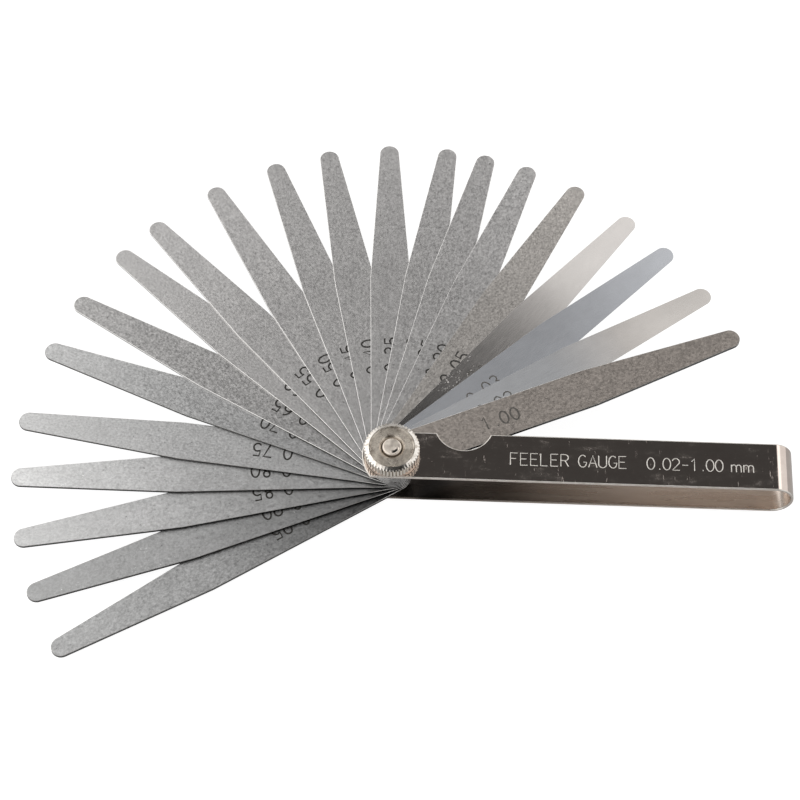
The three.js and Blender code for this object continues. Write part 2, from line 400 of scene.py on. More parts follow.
class Nodes:
    """Short names for building one material's node tree."""

    def __init__(self, name):
        self.material = bpy.data.materials.new(name)
        self.material.use_nodes = True
        self.tree = self.material.node_tree
        self.shader = self.tree.nodes["Principled BSDF"]
        self.shader.inputs["Metallic"].default_value = 1

    def add(self, kind, **settings):
        node = self.tree.nodes.new("ShaderNode" + kind)
        for key, value in settings.items():
            if key in node.inputs.keys():
                node.inputs[key].default_value = value
            else:
                setattr(node, key, value)
        return node

    def link(self, output, node, key):
        self.tree.links.new(output, node.inputs[key])

    def place(self, scale):
        """Object coordinates stretched by scale, in units of one metre."""
        source = self.add("TexCoord")
        mapping = self.add("Mapping")
        mapping.inputs["Scale"].default_value = scale
        self.link(source.outputs["Object"], mapping, "Vector")
        return mapping.outputs["Vector"]

    def along(self):
        """Distance along the object's own X."""
        parts = self.add("SeparateXYZ")
        self.link(self.place((1, 1, 1)), parts, "Vector")
        return parts.outputs["X"]

    def noise(self, scale, detail=4.0, roughness=0.55, shift=0.0):
        """Noise mostly between 0.3 and 0.7; scale is waves per metre along X, Y and Z."""
        node = self.add("TexNoise", Scale=1.0, Detail=detail, Roughness=roughness)
        node.noise_dimensions = "4D"
        node.inputs["W"].default_value = shift
        self.link(self.place(scale), node, "Vector")
        return node.outputs["Fac"]

    def remap(self, value, low, high, out_low, out_high):
        """value, where low becomes out_low and high becomes out_high, and no further."""
        node = self.add("MapRange")
        node.inputs["From Min"].default_value = low
        node.inputs["From Max"].default_value = high
        node.inputs["To Min"].default_value = out_low
        node.inputs["To Max"].default_value = out_high
        self.link(value, node, "Value")
        return node.outputs["Result"]

    def profile(self, value, stops):
        """A smooth curve through [distance, level] pairs, starting at distance 0."""
        reach = stops[-1][0]
        peak = max(level for distance, level in stops)
        node = self.add("FloatCurve")
        points = node.mapping.curves[0].points
        for distance, level in stops[1:-1]:
            points.new(distance / reach, level / peak)
        for point, (distance, level) in zip(points, stops):
            point.location = (distance / reach, level / peak)
        node.mapping.update()
        self.link(self.remap(value, 0, reach, 0, 1), node, "Value")
        return self.remap(node.outputs["Value"], 0, 1, 0, peak)

    def chain(self, operation, values):
        """The values joined one after another by a Math operation."""
        result = values[0]
        for value in values[1:]:
            node = self.add("Math", operation=operation)
            self.link(result, node, 0)
            self.link(value, node, 1)
            result = node.outputs["Value"]
        return result

    def product(self, *values):
        return self.chain("MULTIPLY", values)

    def total(self, *values):
        return self.chain("ADD", values)

    def scaled(self, color, share):
        """A colour, fixed or from a socket, times share."""
        node = self.add("VectorMath", operation="SCALE")
        if isinstance(color, tuple):
            node.inputs[0].default_value = color
        else:
            self.link(color, node, 0)
        self.link(share, node, "Scale")
        return node.outputs["Vector"]

    def ramp(self, value, stops):
        """A colour from value, by [place, colour] stops."""
        node = self.add("ValToRGB")
        elements = node.color_ramp.elements
        while len(elements) < len(stops):
            elements.new(0.5)
        for element, (place, color) in zip(elements, stops):
            element.position = place
            element.color = (*color, 1)
        self.link(value, node, "Fac")
        return node.outputs["Color"]

    def bump(self, height, depth, normal=None):
        """A normal bent by height, where 1 stands depth metres proud."""
        node = self.add("Bump", Strength=1.0, Distance=depth)
        self.link(height, node, "Height")
        if normal is not None:
            self.link(normal, node, "Normal")
        return node.outputs["Normal"]


# ---- Materials ----

def blade_material(node, tone):
    """Cold-rolled spring steel: a fine sparkle, grain along the blade, faint stains, satin gloss.

    Oily dirt and painted shade darken it round the pivot, and a painted highlight brightens it towards the
    tip."""
    sparkle, oil_and_shade, wear_and_highlight = BLADE_WEAR_AND_PAINTED_LIGHT.get(node, PLAIN_WEAR_AND_PAINTED_LIGHT)
    m = Nodes(node + "_steel")
    shift = 0.31 * BLADES.index(node)
    grain = m.noise((700, 4200, 700), detail=2, roughness=0.6, shift=shift)
    speckle = m.noise((1500, 1900, 1500), detail=3, roughness=0.8, shift=shift)
    stain = m.noise((45, 110, 110), detail=5, roughness=0.65, shift=shift)
    reach = m.add("VectorMath", operation="LENGTH")
    m.link(m.place((1, 1, 1)), reach, "Vector")
    # Painted shade, with some oily dirt, darkens the pivot end; a painted highlight brightens the tip.
    oil_and_painted_shade = m.remap(reach.outputs["Value"], 8 * MM, 50 * MM, 1 - oil_and_shade, 1)
    painted_tip_highlight = m.remap(reach.outputs["Value"], 50 * MM, 92 * MM, 1, 1 + wear_and_highlight)
    shade_share = m.product(
        m.remap(speckle, 0.25, 0.75, 1 - sparkle, 1 + sparkle),
        m.remap(stain, 0.3, 0.7, 0.93, 1.05),
        m.remap(grain, 0.3, 0.7, 0.97, 1.03),
        oil_and_painted_shade,
        painted_tip_highlight,
    )
    if node in FLECKED_BLADES:
        fleck = m.noise((2100, 2100, 2100), detail=1, shift=shift + 5)
        cluster = m.noise((70, 160, 160), detail=3, shift=shift + 7)
        shade_share = m.total(
            shade_share,
            m.product(m.remap(fleck, 0.66, 0.72, 0, 0.8), m.remap(cluster, 0.54, 0.6, 0, 1)),
        )
    m.link(m.scaled(tone, shade_share), m.shader, "Base Color")
    m.link(m.remap(speckle, 0.3, 0.7, 0.27, 0.43), m.shader, "Roughness")
    normal = m.bump(grain, 0.000004)
    normal = m.bump(speckle, 0.00002, normal=normal)
    m.link(normal, m.shader, "Normal")
    return m.material


def blade_edge_material(name, share):
    """A blade's rounded top edge, burnished by use; share is how bright it is away from the heel, and below
    1 that dimming is painted shade.
    """
    m = Nodes(name)
    nick = m.noise((1200, 1200, 1200), detail=3)
    metal = m.ramp(nick, [(0.25, (0.8, 0.79, 0.78)), (0.55, (0.97, 0.96, 0.95))])
    m.link(m.scaled(metal, m.remap(m.along(), 3 * MM, 9 * MM, 1, share)), m.shader, "Base Color")
    m.link(m.remap(nick, 0.3, 0.7, 0.25, 0.4), m.shader, "Roughness")
    m.link(m.bump(nick, 0.000008), m.shader, "Normal")
    return m.material


def blade_wall_material(name, low_color, high_color):
    """The sheared side of a blade, high_color above and low_color below: the low part is painted shade
    where the blades meet, and it rises towards the heel.
    """
    m = Nodes(name)
    line = m.noise((2500, 2500, 200), detail=2)
    upward = m.add("SeparateXYZ")
    m.link(m.add("TexCoord").outputs["Generated"], upward, "Vector")
    # Painted shade: the dark low part reaches higher near the heel.
    heel = m.remap(m.along(), 0, 35 * MM, -0.3, 0)
    height = m.total(upward.outputs["Z"], m.remap(line, 0.3, 0.7, -0.03, 0.03), heel)
    m.link(m.ramp(height, [(0.4, low_color), (0.55, high_color)]), m.shader, "Base Color")
    m.shader.inputs["Roughness"].default_value = 0.16
    m.link(m.bump(line, 0.000003), m.shader, "Normal")
    return m.material


def foil_material(node, tone, lean):
    """Bright rolled foil. Its surface leans outwards as a drooping foil does, in its shading only.

    lean lists [distance from the pivot, slope] pairs, from the pivot to the tip."""
    m = Nodes(node + "_foil")
    shift = 0.47 * BLADES.index(node)
    grain = m.noise((300, 5000, 300), detail=2, shift=shift)
    wave = m.noise((35, 60, 35), detail=2, roughness=0.5, shift=shift)
    stain = m.noise((160, 220, 160), detail=5, roughness=0.7, shift=shift)
    along = m.along()
    tilt = m.add("CombineXYZ")
    m.link(m.total(m.profile(along, lean), m.remap(wave, 0.3, 0.7, -FOIL_WAVE, FOIL_WAVE)), tilt, "X")
    m.link(m.remap(wave, 0.3, 0.7, FOIL_WAVE, -FOIL_WAVE), tilt, "Y")
    outwards = m.add("VectorTransform", vector_type="VECTOR", convert_from="OBJECT", convert_to="WORLD")
    m.link(tilt.outputs["Vector"], outwards, "Vector")
    upright = m.add("NewGeometry").outputs["Normal"]
    leaning = m.add("VectorMath", operation="ADD")
    m.link(upright, leaning, 0)
    m.link(outwards.outputs["Vector"], leaning, 1)
    unit = m.add("VectorMath", operation="NORMALIZE")
    m.link(leaning.outputs["Vector"], unit, 0)
    share = m.product(m.remap(grain, 0.3, 0.7, 0.96, 1.0), m.remap(stain, 0.25, 0.75, 0.94, 1.04))
    rough = m.remap(grain, 0.3, 0.7, 0.13, 0.18)
    if node == "blade_0_04":
        fleck = m.noise((1900, 1900, 1900), detail=1, shift=shift + 5)
        # Painted shade: the blade darkens towards the pivot.
        painted_dark_root = m.remap(along, 20 * MM, 45 * MM, 0.8, 1)
        specked = m.product(
            m.remap(along, 20 * MM, 26 * MM, 0, 1), m.remap(along, 33 * MM, 38 * MM, 1, 0),
        )
        rough = m.total(rough, m.product(m.remap(fleck, 0.62, 0.72, 0, 0.3), specked))
        share = m.product(share, painted_dark_root)
    # Towards the tip the tone turns warmer: a painted reflection tint.
    metal = m.ramp(
        m.remap(along, 0, BLADE_REACH, 0, 1),
        [(0.5, tone), (0.72, FOIL_TIP_REFLECTION_TONES.get(node, tone))],
    )
    m.link(m.scaled(metal, share), m.shader, "Base Color")
    m.link(rough, m.shader, "Roughness")
    m.link(m.bump(grain, 0.0000008, normal=unit.outputs["Vector"]), m.shader, "Normal")
    return m.material


def case_material():
    """Polished nickel plate: near mirror, with a brown cast, dull smears, scuffs across it and specks."""
    m = Nodes("case_plate")
    hairline = m.noise((5000, 150, 150), detail=2, roughness=0.6)
    smear = m.noise((150, 320, 320), detail=6, roughness=0.7)
    scuff = m.noise((1600, 260, 260), detail=3, roughness=0.65)
    speck = m.noise((1500, 1500, 1500), detail=2)
    plate = m.ramp(smear, [(0.35, (0.66, 0.575, 0.53)), (0.65, (0.73, 0.65, 0.6))])
    m.link(plate, m.shader, "Base Color")
    dull = m.chain("MAXIMUM", [
        m.remap(smear, 0.53, 0.74, 0.06, 0.32),
        m.remap(scuff, 0.61, 0.72, 0.06, 0.38),
        m.remap(speck, 0.7, 0.8, 0.06, 0.4),
    ])
    m.link(dull, m.shader, "Roughness")
    m.link(m.bump(scuff, 0.000002, normal=m.bump(hairline, 0.0000005)), m.shader, "Normal")
    return m.material


def nut_material():
    """Nickel-plated turned steel. Its fine turning marks spread highlights across the rings."""
    m = Nodes("nut_plate")
    rings = m.add("TexWave", wave_type="RINGS", rings_direction="Z")
    rings.inputs["Scale"].default_value = 900
    rings.inputs["Distortion"].default_value = 0.4
    m.link(m.place((1, 1, 1)), rings, "Vector")
    wear = m.noise((500, 500, 500), detail=5)
    dirt = m.noise((420, 420, 420), detail=6, roughness=0.8, shift=2.0)
    plate = m.ramp(dirt, [(0.36, (0.26, 0.22, 0.18)), (0.58, (0.72, 0.66, 0.58))])
    m.link(plate, m.shader, "Base Color")
    m.link(m.remap(wear, 0.3, 0.7, 0.24, 0.34), m.shader, "Roughness")
    m.shader.inputs["Anisotropic"].default_value = 0.9
    m.shader.inputs["Anisotropic Rotation"].default_value = 0.25
    m.link(m.add("Tangent", direction_type="RADIAL", axis="Z").outputs["Tangent"], m.shader, "Tangent")
    m.link(m.bump(rings.outputs["Fac"], 0.00001), m.shader, "Normal")
    return m.material


def bevel_material():
    """The nut's bevel, polished by thumbs."""
    m = Nodes("nut_bevel")
    wear = m.noise((700, 700, 700), detail=4)
    m.link(m.ramp(wear, [(0.36, (0.52, 0.47, 0.41)), (0.5, (0.9, 0.86, 0.81))]), m.shader, "Base Color")
    m.link(m.remap(wear, 0.3, 0.7, 0.1, 0.2), m.shader, "Roughness")
    m.link(m.bump(wear, 0.00001), m.shader, "Normal")
    return m.material


def knurl_material():
    """The knurled band: plated, bright on the tooth tops and dark in the grooves."""
    m = Nodes("nut_knurl")
    centre_distance = m.add("VectorMath", operation="LENGTH")
    flat = m.add("VectorMath", operation="MULTIPLY")
    flat.inputs[1].default_value = (1, 1, 0)
    m.link(m.place((1, 1, 1)), flat, 0)
    m.link(flat.outputs["Vector"], centre_distance, 0)
    tooth = m.remap(
        centre_distance.outputs["Value"], NUT_RADIUS - KNURL_DEPTH, NUT_RADIUS - 0.1 * KNURL_DEPTH, 0, 1,
    )
    m.link(m.ramp(tooth, [(0.12, (0.1, 0.08, 0.06)), (0.45, (0.92, 0.86, 0.78))]), m.shader, "Base Color")
    m.link(m.remap(tooth, 0, 1, 0.5, 0.25), m.shader, "Roughness")
    wear = m.noise((900, 900, 500), detail=4)
    m.link(m.bump(wear, 0.00002), m.shader, "Normal")
    return m.material


def screw_material():
    """Plain turned steel, scratched by handling."""
    m = Nodes("screw_steel")
    wear = m.noise((900, 900, 900), detail=5)
    m.link(m.ramp(wear, [(0.3, (0.66, 0.59, 0.52)), (0.6, (0.86, 0.79, 0.71))]), m.shader, "Base Color")
    m.link(m.remap(wear, 0.3, 0.7, 0.28, 0.45), m.shader, "Roughness")
    m.link(m.bump(wear, 0.00002), m.shader, "Normal")
    return m.material


def ink_material(name, share):
    """Dark oxide left by etching, lightened by share."""
    m = Nodes(name)
    patch = m.noise((1500, 1500, 1500), detail=3)
    m.shader.inputs["Metallic"].default_value = 0.3
    deep, thin = (tuple(share * c for c in color) for color in (INK_DEEP, INK_THIN))
    m.link(m.ramp(patch, [(0.3, deep), (0.75, thin)]), m.shader, "Base Color")
    m.shader.inputs["Roughness"].default_value = 0.55
    return m.material


def engraving_material():
    """The bright metal of the case's lettering, rough as if it were cut."""
    m = Nodes("engraving")
    burr = m.noise((2500, 2500, 2500), detail=3)
    m.link(m.ramp(burr, [(0.2, (0.55, 0.52, 0.48)), (0.7, (0.9, 0.87, 0.83))]), m.shader, "Base Color")
    m.shader.inputs["Roughness"].default_value = 0.4
    m.link(m.bump(burr, 0.00003), m.shader, "Normal")
    return m.material


def case_inside_material():
    """The inside of the case, which was never polished and has tarnished brown. Along the case it is
    painted with shade and light: darkest next to the pivot, brightest towards the bend.
    """
    m = Nodes("case_inside")
    streak = m.noise((40, 500, 500), detail=3, roughness=0.55)
    metal = m.ramp(streak, [(0.3, (0.64, 0.56, 0.5)), (0.7, (0.72, 0.64, 0.575))])
    m.link(m.scaled(metal, m.profile(m.along(), INSIDE_PAINTED_SHADE)), m.shader, "Base Color")
    m.link(m.remap(streak, 0.3, 0.7, 0.2, 0.34), m.shader, "Roughness")
    m.link(m.bump(streak, 0.000004), m.shader, "Normal")
    return m.material


def case_edge_material():
    """The strip's rounded edges, worn through the polish to a bright satin."""
    m = Nodes("case_edge")
    wear_and_highlight = m.noise((400, 900, 900), detail=4)
    m.link(m.ramp(wear_and_highlight, [(0.3, (0.62, 0.58, 0.53)), (0.6, (0.86, 0.83, 0.79))]), m.shader, "Base Color")
    m.link(m.remap(wear_and_highlight, 0.3, 0.7, 0.5, 0.3), m.shader, "Roughness")
    m.link(m.bump(wear_and_highlight, 0.00001), m.shader, "Normal")
    return m.material


MATERIALS = {
    "engraving": engraving_material(),
    "case_edge": case_edge_material(),
    "case_inside": case_inside_material(),
    "blade_edge": blade_edge_material("blade_edge", 1),
    # The next edge and wall below are darkened with painted shade, for the sides listed as shaded.
    "painted_shade_edge": blade_edge_material("painted_shade_edge", PAINTED_SHADE_EDGE),
    "blade_wall": blade_wall_material("blade_wall", (0.03, 0.028, 0.026), (0.97, 0.96, 0.95)),
    "painted_shade_wall": blade_wall_material("painted_shade_wall", (0.04, 0.04, 0.04), (0.1, 0.098, 0.095)),
    "case_plate": case_material(),
    "nut_plate": nut_material(),
    "nut_bevel": bevel_material(),
    "nut_knurl": knurl_material(),
    "screw_steel": screw_material(),
    "marks": ink_material("etched_marks", 1),
    "faint_marks": ink_material("faint_etched_marks", FAINT_INK),
}
for blade_node in BLADES:
    blade_tone = TONES.get(blade_node, PLAIN_STEEL)
    if blade_node in FOIL_LEAN:
        MATERIALS[blade_node] = foil_material(blade_node, blade_tone, FOIL_LEAN[blade_node])
    else:
        MATERIALS[blade_node] = blade_material(blade_node, blade_tone)


def add_slots(mesh, *names):
    for name in names:
        mesh.materials.append(MATERIALS[name])


# ---- Blades ----

def blade_loops():
    """Round heel about the pivot, parallel sides, then a straight taper to a round tip; and the hole."""
    half = BLADE_WIDTH / 2
    tip_centre = BLADE_REACH - BLADE_TIP_RADIUS
    taper = tip_centre - BLADE_TAPER_START
    slope = math.degrees(math.atan2(half, taper) - math.asin(BLADE_TIP_RADIUS / math.hypot(taper, half)))
    outline = [(BLADE_TAPER_START, -half)]
    outline += arc((tip_centre, 0), BLADE_TIP_RADIUS, slope - 90, 90 - slope, TIP_STEPS)
    outline += [(BLADE_TAPER_START, half)]
    outline += arc((0, 0), half, 90, 270, HEEL_STEPS)
    return [outline, round_hole(PIVOT_HOLE_RADIUS)]


def rest_angle(node):
    """A blade's angle from the case at rest, in radians: its joint's lower limit is folded away."""
    return -math.radians(JOINTS[node]["range_deg"][0])


def make_blade(node):
    low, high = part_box(node)
    thickness = high.z - low.z
    edge = min(BLADE_EDGE_RADIUS, thickness * BLADE_EDGE_SHARE)
    mesh = sheet_metal(node + "_fine", blade_loops(), thickness, edge)
    blade = new_object(node + "_fine", shade(mesh, angle=12), MATERIALS[node])
    add_slots(mesh, "blade_edge", "blade_wall", "painted_shade_edge", "painted_shade_wall")
    edge_slot, wall_slot, painted_shade_edge_slot, painted_shade_wall_slot = 1, 2, 3, 4
    for polygon in mesh.polygons:
        upward = polygon.normal.z
        if abs(upward) > BLADE_FACE:
            continue
        on_edge = upward > BLADE_TOP_EDGE
        # The listed sides of the thick blades take the edge and wall darkened with painted shade.
        if polygon.center.y * PAINTED_SHADE_SIDE.get(node, 0) > 0:
            polygon.material_index = painted_shade_edge_slot if on_edge else painted_shade_wall_slot
        else:
            polygon.material_index = edge_slot if on_edge else wall_slot
    keep_flats_flat(blade)
    blade.matrix_world = Matrix.Translation((0, 0, low.z)) @ Matrix.Rotation(rest_angle(node), 4, "Z")
    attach(blade, node)
    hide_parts(node)


for blade_node in BLADES:
    make_blade(blade_node)


# ---- Numbers and lettering: a plain single-stroke alphabet ----

def oval(cx, cy, rx, ry, start, end, steps=14):
    """Points on an ellipse, angles in degrees."""
    angles = [math.radians(start + (end - start) * i / steps) for i in range(steps + 1)]
    return [(cx + rx * math.cos(a), cy + ry * math.sin(a)) for a in angles]


# Strokes of each character in a box one unit tall and about 0.6 wide.
GLYPHS = {
    "0": [oval(0.29, 0.5, 0.29, 0.5, 0, 360, 28)],
    "1": [[(0.1, 0.78), (0.32, 1), (0.32, 0)]],
    "2": [oval(0.29, 0.72, 0.27, 0.28, 165, -35) + [(0.02, 0), (0.58, 0)]],
    "3": [oval(0.27, 0.75, 0.25, 0.25, 145, -90) + oval(0.27, 0.25, 0.29, 0.25, 90, -145)],
    "4": [[(0.44, 0), (0.44, 1), (0, 0.3), (0.6, 0.3)]],
    "5": [[(0.54, 1), (0.1, 1), (0.06, 0.54)] + oval(0.28, 0.31, 0.29, 0.31, 125, -145)],
    "6": [oval(0.29, 0.3, 0.28, 0.3, 0, 360, 24), oval(0.5, 0.3, 0.49, 0.7, 178, 98)],
    "7": [[(0, 1), (0.58, 1), (0.2, 0)]],
    "8": [oval(0.29, 0.76, 0.22, 0.24, 0, 360, 22), oval(0.29, 0.26, 0.28, 0.26, 0, 360, 24)],
    "9": [oval(0.29, 0.7, 0.28, 0.3, 0, 360, 24), oval(0.08, 0.7, 0.49, 0.7, -2, -82)],
    ".": [[(0.27, 0), (0.27, 0.09)]],
    "-": [[(0.08, 0.45), (0.52, 0.45)]],
    "F": [[(0, 0), (0, 1), (0.52, 1)], [(0, 0.54), (0.42, 0.54)]],
    "E": [[(0.54, 0), (0, 0), (0, 1), (0.54, 1)], [(0, 0.52), (0.44, 0.52)]],
    "L": [[(0, 1), (0, 0), (0.5, 0)]],
    "R": [[(0, 0), (0, 1), (0.3, 1)] + oval(0.3, 0.75, 0.25, 0.25, 90, -90) + [(0, 0.5)],
          [(0.3, 0.5), (0.57, 0)]],
    "G": [oval(0.31, 0.5, 0.31, 0.5, 48, 315, 20) + [(0.6, 0.42), (0.36, 0.42)]],
    "A": [[(0, 0), (0.31, 1), (0.62, 0)], [(0.11, 0.35), (0.51, 0.35)]],
    "U": [[(0, 1), (0, 0.3)] + oval(0.29, 0.3, 0.29, 0.3, 180, 360) + [(0.58, 1)]],
    "m": [[(0, 0), (0, 0.62)], oval(0.19, 0.42, 0.18, 0.2, 180, 0, 8) + [(0.37, 0)],
          oval(0.56, 0.42, 0.18, 0.2, 180, 0, 8) + [(0.74, 0)]],
    " ": [],
}
STEP_SHARES = {" ": 0.75, ".": 0.75, "m": 1.35}  # of the usual step from one character to the next


def lettering(name, text, height, step, stroke, lift, sink, material):
    """Text as flattened tubes, one for each stroke, lift above z = 0 and sink below it.

    Its first character starts at the origin and it reads along +X."""
    curve = bpy.data.curves.new(name, "CURVE")
    curve.dimensions = "3D"
    curve.bevel_depth = stroke / 2
    curve.bevel_resolution = 1
    curve.use_fill_caps = True
    start = 0.0
    for character in text:
        for line in GLYPHS[character]:
            add_line(curve, [(start + x * height, y * height) for x, y in line])
        start += step * STEP_SHARES.get(character, 1)
    mesh = mesh_of_curve(name, curve)
    for vert in mesh.vertices:
        share = vert.co.z / (stroke / 2)
        vert.co.z = share * (lift if share > 0 else sink)
    return new_object(name, shade(mesh, angle=60), material)


def mark_blade(node):
    """The blade's thickness in millimetres, dark on its upper face, reading away from the pivot."""
    label = node.removeprefix("blade_").replace("_", ".")
    stroke = FOIL_MARK_STROKE if node in FOIL_LEAN else MARK_STROKE
    faint = node in FOIL_LEAN or node == "blade_1_00"
    marks = lettering(
        node.replace("blade", "marks"), label, MARK_HEIGHT, MARK_STEP, stroke, MARK_LIFT, MARK_SINK,
        MATERIALS["faint_marks" if faint else "marks"],
    )
    start = MARK_START + MARK_SHIFT.get(node, 0)
    place = Matrix.Translation((start, MARK_BASE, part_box(node)[1].z))
    marks.matrix_world = Matrix.Rotation(rest_angle(node), 4, "Z") @ place
    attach(marks, node)


for blade_node in BLADES:
    mark_blade(blade_node)


# ---- Case ----

def case_plan(length):
    """The case strip rolled out flat: both ends with a curved nose, notches in the +Y edge.

    It runs from the front leg's pivot, along the strip, to the back leg's pivot at length."""
    half = (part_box("case")[1].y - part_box("case")[0].y) / 2
    nose = -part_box("case")[0].x
    nose_centre = CASE_NOSE_RADIUS - nose
    nose_half = math.degrees(math.asin(half / CASE_NOSE_RADIUS))
    notch_y = half - NOTCH_DEPTH + NOTCH_RADIUS
    notch_half = math.degrees(math.acos((NOTCH_RADIUS - NOTCH_DEPTH) / NOTCH_RADIUS))
    outline = arc((nose_centre, 0), CASE_NOSE_RADIUS, 180 - nose_half, 180 + nose_half, NOSE_STEPS)
    outline += arc((length - nose_centre, 0), CASE_NOSE_RADIUS, -nose_half, nose_half, NOSE_STEPS)
    for notch_x in (length - NOTCH_CENTRE_X, NOTCH_CENTRE_X):
        outline += arc(
            (notch_x, notch_y), NOTCH_RADIUS, -90 + notch_half, -90 - notch_half, NOTCH_STEPS,
        )
    side = NECK_HOLE_SIDE / 2
    neck_hole = [(length + x, y) for x, y in ((-side, side), (side, side), (side, -side), (-side, -side))]
    return [outline, round_hole(PIVOT_HOLE_RADIUS), neck_hole]


def make_case():
    """One strip, cut flat and bent round: front leg on top, half-oval bend, back leg below."""
    low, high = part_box("case")
    bend_start = high.x - BEND_DEPTH
    middle = (low.z + high.z) / 2
    depth = BEND_DEPTH - STRIP / 2
    rise = (high.z - low.z - STRIP) / 2
    # The bend's middle line, from the front leg down to the back leg.
    turn = np.linspace(0, math.pi, BEND_SAMPLES)
    line_x = bend_start + depth * np.sin(turn)
    line_z = middle + rise * np.cos(turn)
    run = np.concatenate([[0], np.cumsum(np.hypot(np.diff(line_x), np.diff(line_z)))])
    bend_length = run[-1]
    length = 2 * bend_start + bend_length
    mesh = sheet_metal("case_fine", case_plan(length), STRIP, CASE_EDGE_RADIUS, CASE_EDGE_STEPS)
    work = bmesh.new()
    work.from_mesh(mesh)
    for cut in np.linspace(bend_start, bend_start + bend_length, BEND_CUTS):
        bmesh.ops.bisect_plane(
            work, geom=work.verts[:] + work.edges[:] + work.faces[:], dist=CUT_DISTANCE,
            plane_co=(cut, 0, 0), plane_no=(1, 0, 0),
        )
    for vert in work.verts:
        s, y, up = vert.co
        up -= STRIP / 2
        if s <= bend_start:
            vert.co = (s, y, middle + rise + up)
        elif s >= bend_start + bend_length:
            vert.co = (length - s, y, middle - rise - up)
        else:
            angle = np.interp(s - bend_start, run, turn)
            out = Vector((rise * math.sin(angle), 0, depth * math.cos(angle))).normalized()
            place = Vector((bend_start + depth * math.sin(angle), y, middle + rise * math.cos(angle)))
            vert.co = place + out * up
    work.to_mesh(mesh)
    work.free()
    case = new_object("case_fine", shade(mesh, angle=20), MATERIALS["case_plate"])
    add_slots(mesh, "case_inside", "case_edge")
    plate_slot, inside_slot, edge_slot = 0, 1, 2
    for polygon in mesh.polygons:
        centre, normal = polygon.center, polygon.normal
        inwards = Vector((min(0.0, bend_start - centre.x), 0, middle - centre.z)).normalized()
        # How far the surface leans out of the strip's own face: 0 on the face, 1 on the cut sides.
        slant = abs(normal.y) if centre.x > bend_start else math.sqrt(1 - min(1, normal.z ** 2))
        on_back_leg = centre.z < middle and centre.x < bend_start
        if on_back_leg and slant > CASE_EDGE:
            # The back leg's edges are as dull as its inside and carry its painted shade, except those that
            # look down.
            polygon.material_index = inside_slot if normal.z > CASE_LOOKS_DOWN else plate_slot
        elif CASE_EDGE < slant < CASE_SIDE:
            polygon.material_index = edge_slot
        elif normal.dot(inwards) > CASE_INSIDE_FACING and slant < CASE_INSIDE_SLANT:
            polygon.material_index = inside_slot
    keep_flats_flat(case)
    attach(case, "case")
    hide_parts("case")


make_case()


def engrave_case():
    """Plain lettering on the front leg: what the tool is, and its range."""
    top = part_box("case")[1].z
    for name, (text, height, step, start) in CASE_TEXT.items():
        words = lettering(
            name, text, height, step, CASE_TEXT_STROKE, CASE_TEXT_LIFT, CASE_TEXT_SINK,
            MATERIALS["engraving"],
        )
        words.location = (start, CASE_TEXT_BASE, top)
        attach(words, "case")


engrave_case()


# ---- Thumb nut, washer and pivot screw ----

def make_thumb_nut():
    """Knurled after its broad bevel was turned, so the grooves run out in the bevel's lower edge."""
    low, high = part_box("thumb_nut")
    bottom, top = low.z, high.z
    rim_outer = NUT_RADIUS - NUT_BEVEL_WIDTH
    dish = top - NUT_DISH_DEPTH
    groove_floor = NUT_RADIUS - KNURL_DEPTH
    groove_end = top - NUT_BEVEL_HEIGHT * (1 - KNURL_DEPTH / NUT_BEVEL_WIDTH)
    foot_end = bottom + NUT_FOOT_CHAMFER - KNURL_DEPTH
    rows = [
        (PIVOT_HOLE_RADIUS, bottom), (NUT_RADIUS - NUT_FOOT_CHAMFER, bottom), (groove_floor, foot_end),
        (NUT_RADIUS, bottom + NUT_FOOT_CHAMFER), (NUT_RADIUS, top - NUT_BEVEL_HEIGHT),
        (groove_floor, groove_end), (rim_outer, top), (rim_outer - NUT_RIM, top),
        (rim_outer - NUT_RIM - NUT_DISH_SLOPE, dish + NUT_DISH_FALL), (NUT_COUNTERSINK_RADIUS, dish),
        (BORE_MOUTH_RADIUS, dish - COUNTERSINK_DEPTH), (PIVOT_HOLE_RADIUS, dish - BORE_MOUTH_DEPTH),
    ]
    knurled_rows = (3, 4)

    def wobble(row, angle):
        if row not in knurled_rows:
            return 1
        from_groove = abs(KNURL_COUNT * angle / math.pi % 2 - 1)
        groove = max(0.0, 1 - from_groove - KNURL_LAND) / (1 - KNURL_LAND)
        return 1 - KNURL_DEPTH / NUT_RADIUS * groove

    mesh = turned("thumb_nut_fine", rows, KNURL_COUNT * COLUMNS_PER_TOOTH, wobble)
    nut = new_object("thumb_nut_fine", shade(mesh, angle=20), MATERIALS["nut_plate"])
    add_slots(mesh, "nut_knurl", "nut_bevel")
    knurl_slot, bevel_slot = 1, 2
    for polygon in mesh.polygons:
        centre = polygon.center
        radius = math.hypot(centre.x, centre.y)
        on_bevel = radius > rim_outer and centre.z > top - NUT_BEVEL_HEIGHT
        on_foot = bottom < centre.z < foot_end and radius > PIVOT_HOLE_RADIUS
        if on_bevel or on_foot:
            polygon.material_index = bevel_slot
        elif radius > groove_floor - KNURL_MARGIN:
            polygon.material_index = knurl_slot
    keep_flats_flat(nut)
    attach(nut, "thumb_nut")
    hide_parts("thumb_nut")


def stake(mesh, top):
    """A crescent dent near the edge of the screw's end."""
    for vert in mesh.vertices:
        radius = math.hypot(vert.co.x, vert.co.y)
        if vert.co.z < top - STAKE_CLEARANCE or radius < STAKE_CLEARANCE:
            continue
        turn = math.atan2(vert.co.y, vert.co.x) - STAKE_ANGLE
        sideways = math.atan2(math.sin(turn), math.cos(turn)) / STAKE_HALF_ANGLE
        across = (radius - STAKE_RADIUS) / STAKE_HALF_WIDTH
        vert.co.z -= STAKE_DEPTH * math.exp(-across ** 2 - sideways ** 4)


